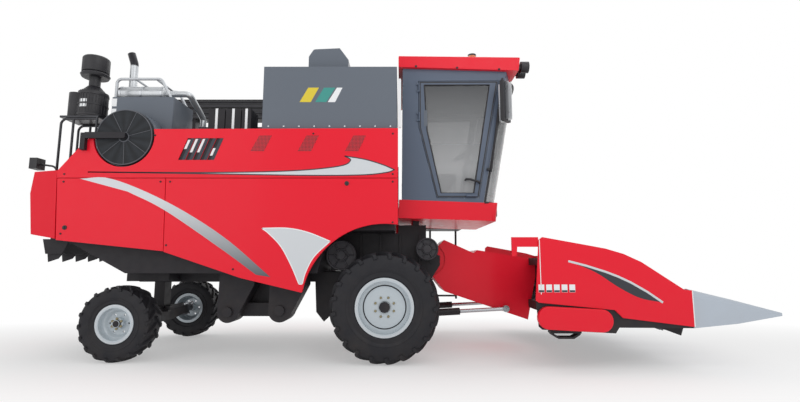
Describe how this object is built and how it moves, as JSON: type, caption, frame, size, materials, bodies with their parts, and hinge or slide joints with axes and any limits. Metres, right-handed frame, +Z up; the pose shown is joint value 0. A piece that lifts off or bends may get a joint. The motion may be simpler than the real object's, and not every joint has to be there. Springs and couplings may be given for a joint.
{
  "type": "corn harvester",
  "caption": "Self-propelled corn harvester with a row header, cab over the feeder house, grain tank, rear engine deck and swinging unloading conveyor.",
  "frame": {"origin": "on the ground below the middle of the overall box", "axes": "+X forward, +Y to the machine's left, +Z up"},
  "size_m": [8.556, 3.2, 3.8556],
  "materials": {
    "tyre": "rubber with bar lugs",
    "rim_silver": "silver-grey paint",
    "frame_black": "satin black paint",
    "bright_steel": "polished rod",
    "red_panel": "glossy crimson paint",
    "slate": "slate blue-grey paint",
    "cast_grey": "plain casting",
    "dark_mesh": "dark perforated sheet",
    "silver": "silver heat-proof coating",
    "black_plastic": "satin",
    "cab_glass": "clear, lightly tinted",
    "seat_fabric": "dark cloth",
    "lamp_lens": "clear lens in a dark housing",
    "snout_steel": "light grey-blue paint"
  },
  "bodies": {
    "chassis": {"access_ladder": "frame_black", "air_cleaner": "black_plastic", "cab_base": "red_panel", "cab_roof": "red_panel", "cab_shell": "slate", "chassis_frame": "frame_black", "deck_rails": "frame_black", "drive_pulleys": "frame_black", "elevator_head": "slate", "engine_block": "cast_grey", "exhaust": "silver", "front_axle": "frame_black", "grain_tank": "slate", "husking_body": "frame_black", "lamps": "lamp_lens", "lower_conveyors": "frame_black", "lower_side_panels": "red_panel", "mirrors": "black_plastic", "radiator_box": "slate", "rear_axle": "frame_black", "rear_hood": "red_panel", "seat": "seat_fabric", "steering_console": "black_plastic", "straw_chopper": "frame_black", "suction_arm": "frame_black", "tool_boxes": "black_plastic", "unloading_turret": "slate", "upper_side_panels": "red_panel", "windscreen": "cab_glass"},
    "wheel_front_right": {"tyre_front_right": "tyre", "rim_front_right": "rim_silver"},
    "wheel_front_left": {"tyre_front_left": "tyre", "rim_front_left": "rim_silver"},
    "wheel_rear_right": {"tyre_rear_right": "tyre", "rim_rear_right": "rim_silver"},
    "wheel_rear_left": {"tyre_rear_left": "tyre", "rim_rear_left": "rim_silver"},
    "steering_knuckle_right": {"knuckle_right": "frame_black"},
    "steering_knuckle_left": {"knuckle_left": "frame_black"},
    "tie_rod_body": {"tie_rod": "bright_steel"},
    "steering_barrel_body": {"steering_barrel": "frame_black"},
    "steering_rod_body": {"steering_rod": "bright_steel"},
    "header": {"feeder_house": "red_panel", "header_frame": "slate", "row_decks": "slate", "row_units": "cast_grey", "row_hoods": "red_panel", "snouts": "snout_steel", "side_fairings": "red_panel"},
    "lift_barrels_body": {"lift_barrels": "frame_black"},
    "lift_rods_body": {"lift_rods": "bright_steel"},
    "auger_body": {"header_auger": "frame_black"},
    "door_right": {"cab_door_right": "slate", "door_glass_right": "cab_glass"},
    "door_left": {"cab_door_left": "slate", "door_glass_left": "cab_glass"},
    "dust_screen": {"rotary_screen": "dark_mesh"},
    "conveyor": {"unloading_conveyor": "black_plastic"}
  },
  "joints": [
    {"name": "wheel_front_right_spin", "type": "hinge", "parent": "chassis", "child": "wheel_front_right", "pos_m": [0.09, -1.01, 0.625], "axis": [0, 1, 0], "continuous": true},
    {"name": "wheel_front_left_spin", "type": "hinge", "parent": "chassis", "child": "wheel_front_left", "pos_m": [0.09, 1.01, 0.625], "axis": [0, 1, 0], "continuous": true},
    {"name": "steer_left", "type": "hinge", "parent": "chassis", "child": "steering_knuckle_left", "pos_m": [-2.975, 0.64, 0.43], "axis": [0, 0, 1], "range_deg": [-30, 30]},
    {"name": "steer_right", "type": "hinge", "parent": "chassis", "child": "steering_knuckle_right", "pos_m": [-2.975, -0.64, 0.43], "axis": [0, 0, 1], "range_deg": [-30, 30]},
    {"name": "wheel_rear_right_spin", "type": "hinge", "parent": "steering_knuckle_right", "child": "wheel_rear_right", "pos_m": [-2.975, -0.93, 0.43], "axis": [0, 1, 0], "continuous": true},
    {"name": "wheel_rear_left_spin", "type": "hinge", "parent": "steering_knuckle_left", "child": "wheel_rear_left", "pos_m": [-2.975, 0.93, 0.43], "axis": [0, 1, 0], "continuous": true},
    {"name": "tie_rod_pivot", "type": "hinge", "parent": "steering_knuckle_left", "child": "tie_rod_body", "pos_m": [-3.155, 0.64, 0.39], "axis": [0, 0, 1], "range_deg": [-31, 31]},
    {"name": "steering_barrel_pivot", "type": "hinge", "parent": "chassis", "child": "steering_barrel_body", "pos_m": [-2.865, -0.06, 0.5235], "axis": [0, 0, 1], "range_deg": [-2, 2]},
    {"name": "steering_rod_slide", "type": "slide", "parent": "steering_barrel_body", "child": "steering_rod_body", "axis": [-0.0051, 1, 0], "range_m": [-0.06, 0.06]},
    {"name": "header_lift", "type": "hinge", "parent": "chassis", "child": "header", "pos_m": [0.685, 0, 1.15], "axis": [0, -1, 0], "range_deg": [-9, 16]},
    {"name": "lift_barrel_pivot", "type": "hinge", "parent": "chassis", "child": "lift_barrels_body", "pos_m": [0.23, 0, 0.47], "axis": [0, -1, 0], "range_deg": [-6.5, 11]},
    {"name": "lift_rod_slide", "type": "slide", "parent": "lift_barrels_body", "child": "lift_rods_body", "axis": [0.9985, 0, 0.0547], "range_m": [-0.12, 0.19]},
    {"name": "header_auger_spin", "type": "hinge", "parent": "header", "child": "auger_body", "pos_m": [2.27, 0, 0.79], "axis": [0, 1, 0], "continuous": true},
    {"name": "cab_door_right_hinge", "type": "hinge", "parent": "chassis", "child": "door_right", "pos_m": [0.503, -0.812, 2.9], "axis": [0, 0, -1], "range_deg": [0, 75]},
    {"name": "cab_door_left_hinge", "type": "hinge", "parent": "chassis", "child": "door_left", "pos_m": [0.503, 0.812, 2.9], "axis": [0, 0, 1], "range_deg": [0, 75]},
    {"name": "dust_screen_spin", "type": "hinge", "parent": "chassis", "child": "dust_screen", "pos_m": [-2.963, -1.14, 2.58], "axis": [0, 1, 0], "continuous": true},
    {"name": "unloading_conveyor_swing", "type": "hinge", "parent": "chassis", "child": "conveyor", "pos_m": [-1.53, 0.85, 3.39], "axis": [0, 0, -1], "range_deg": [0, 95]}
  ],
  "couplings": [
    {"joint": "steer_right", "follows": "steer_left", "ratio": 1},
    {"joint": "tie_rod_pivot", "follows": "steer_left", "ratio": -1},
    {"joint": "steering_barrel_pivot", "follows": "steer_left", "ratio": 0.035},
    {"joint": "steering_rod_slide", "follows": "steer_left", "m_per_rad": 0.105},
    {"joint": "lift_barrel_pivot", "follows": "header_lift", "ratio": 0.637},
    {"joint": "lift_rod_slide", "follows": "header_lift", "m_per_rad": 0.635}
  ]
}
